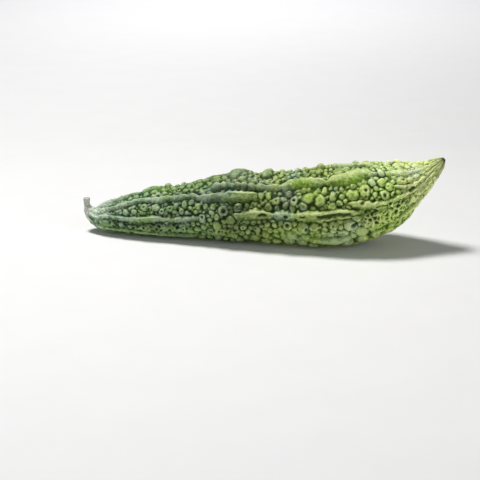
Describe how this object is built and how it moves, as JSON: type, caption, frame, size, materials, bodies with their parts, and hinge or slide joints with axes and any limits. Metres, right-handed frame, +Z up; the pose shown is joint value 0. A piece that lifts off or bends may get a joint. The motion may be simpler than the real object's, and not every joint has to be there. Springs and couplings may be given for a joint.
{
  "type": "bitter gourd",
  "caption": "Whole bitter gourd: a long spindle-shaped green fruit with broken ribs and round warts, a short bent stalk and an upturned beak, lying on its side.",
  "frame": {"origin": "on the surface that the fruit lies on, below the middle of its bounding box", "axes": "+X from the stalk to the beak, -Y towards the viewer, +Z up"},
  "size_m": [0.2404, 0.0551, 0.0609],
  "materials": {
    "skin": "satin, waxy vegetable skin"
  },
  "bodies": {
    "root": {"gourd": "skin"}
  },
  "joints": []
}
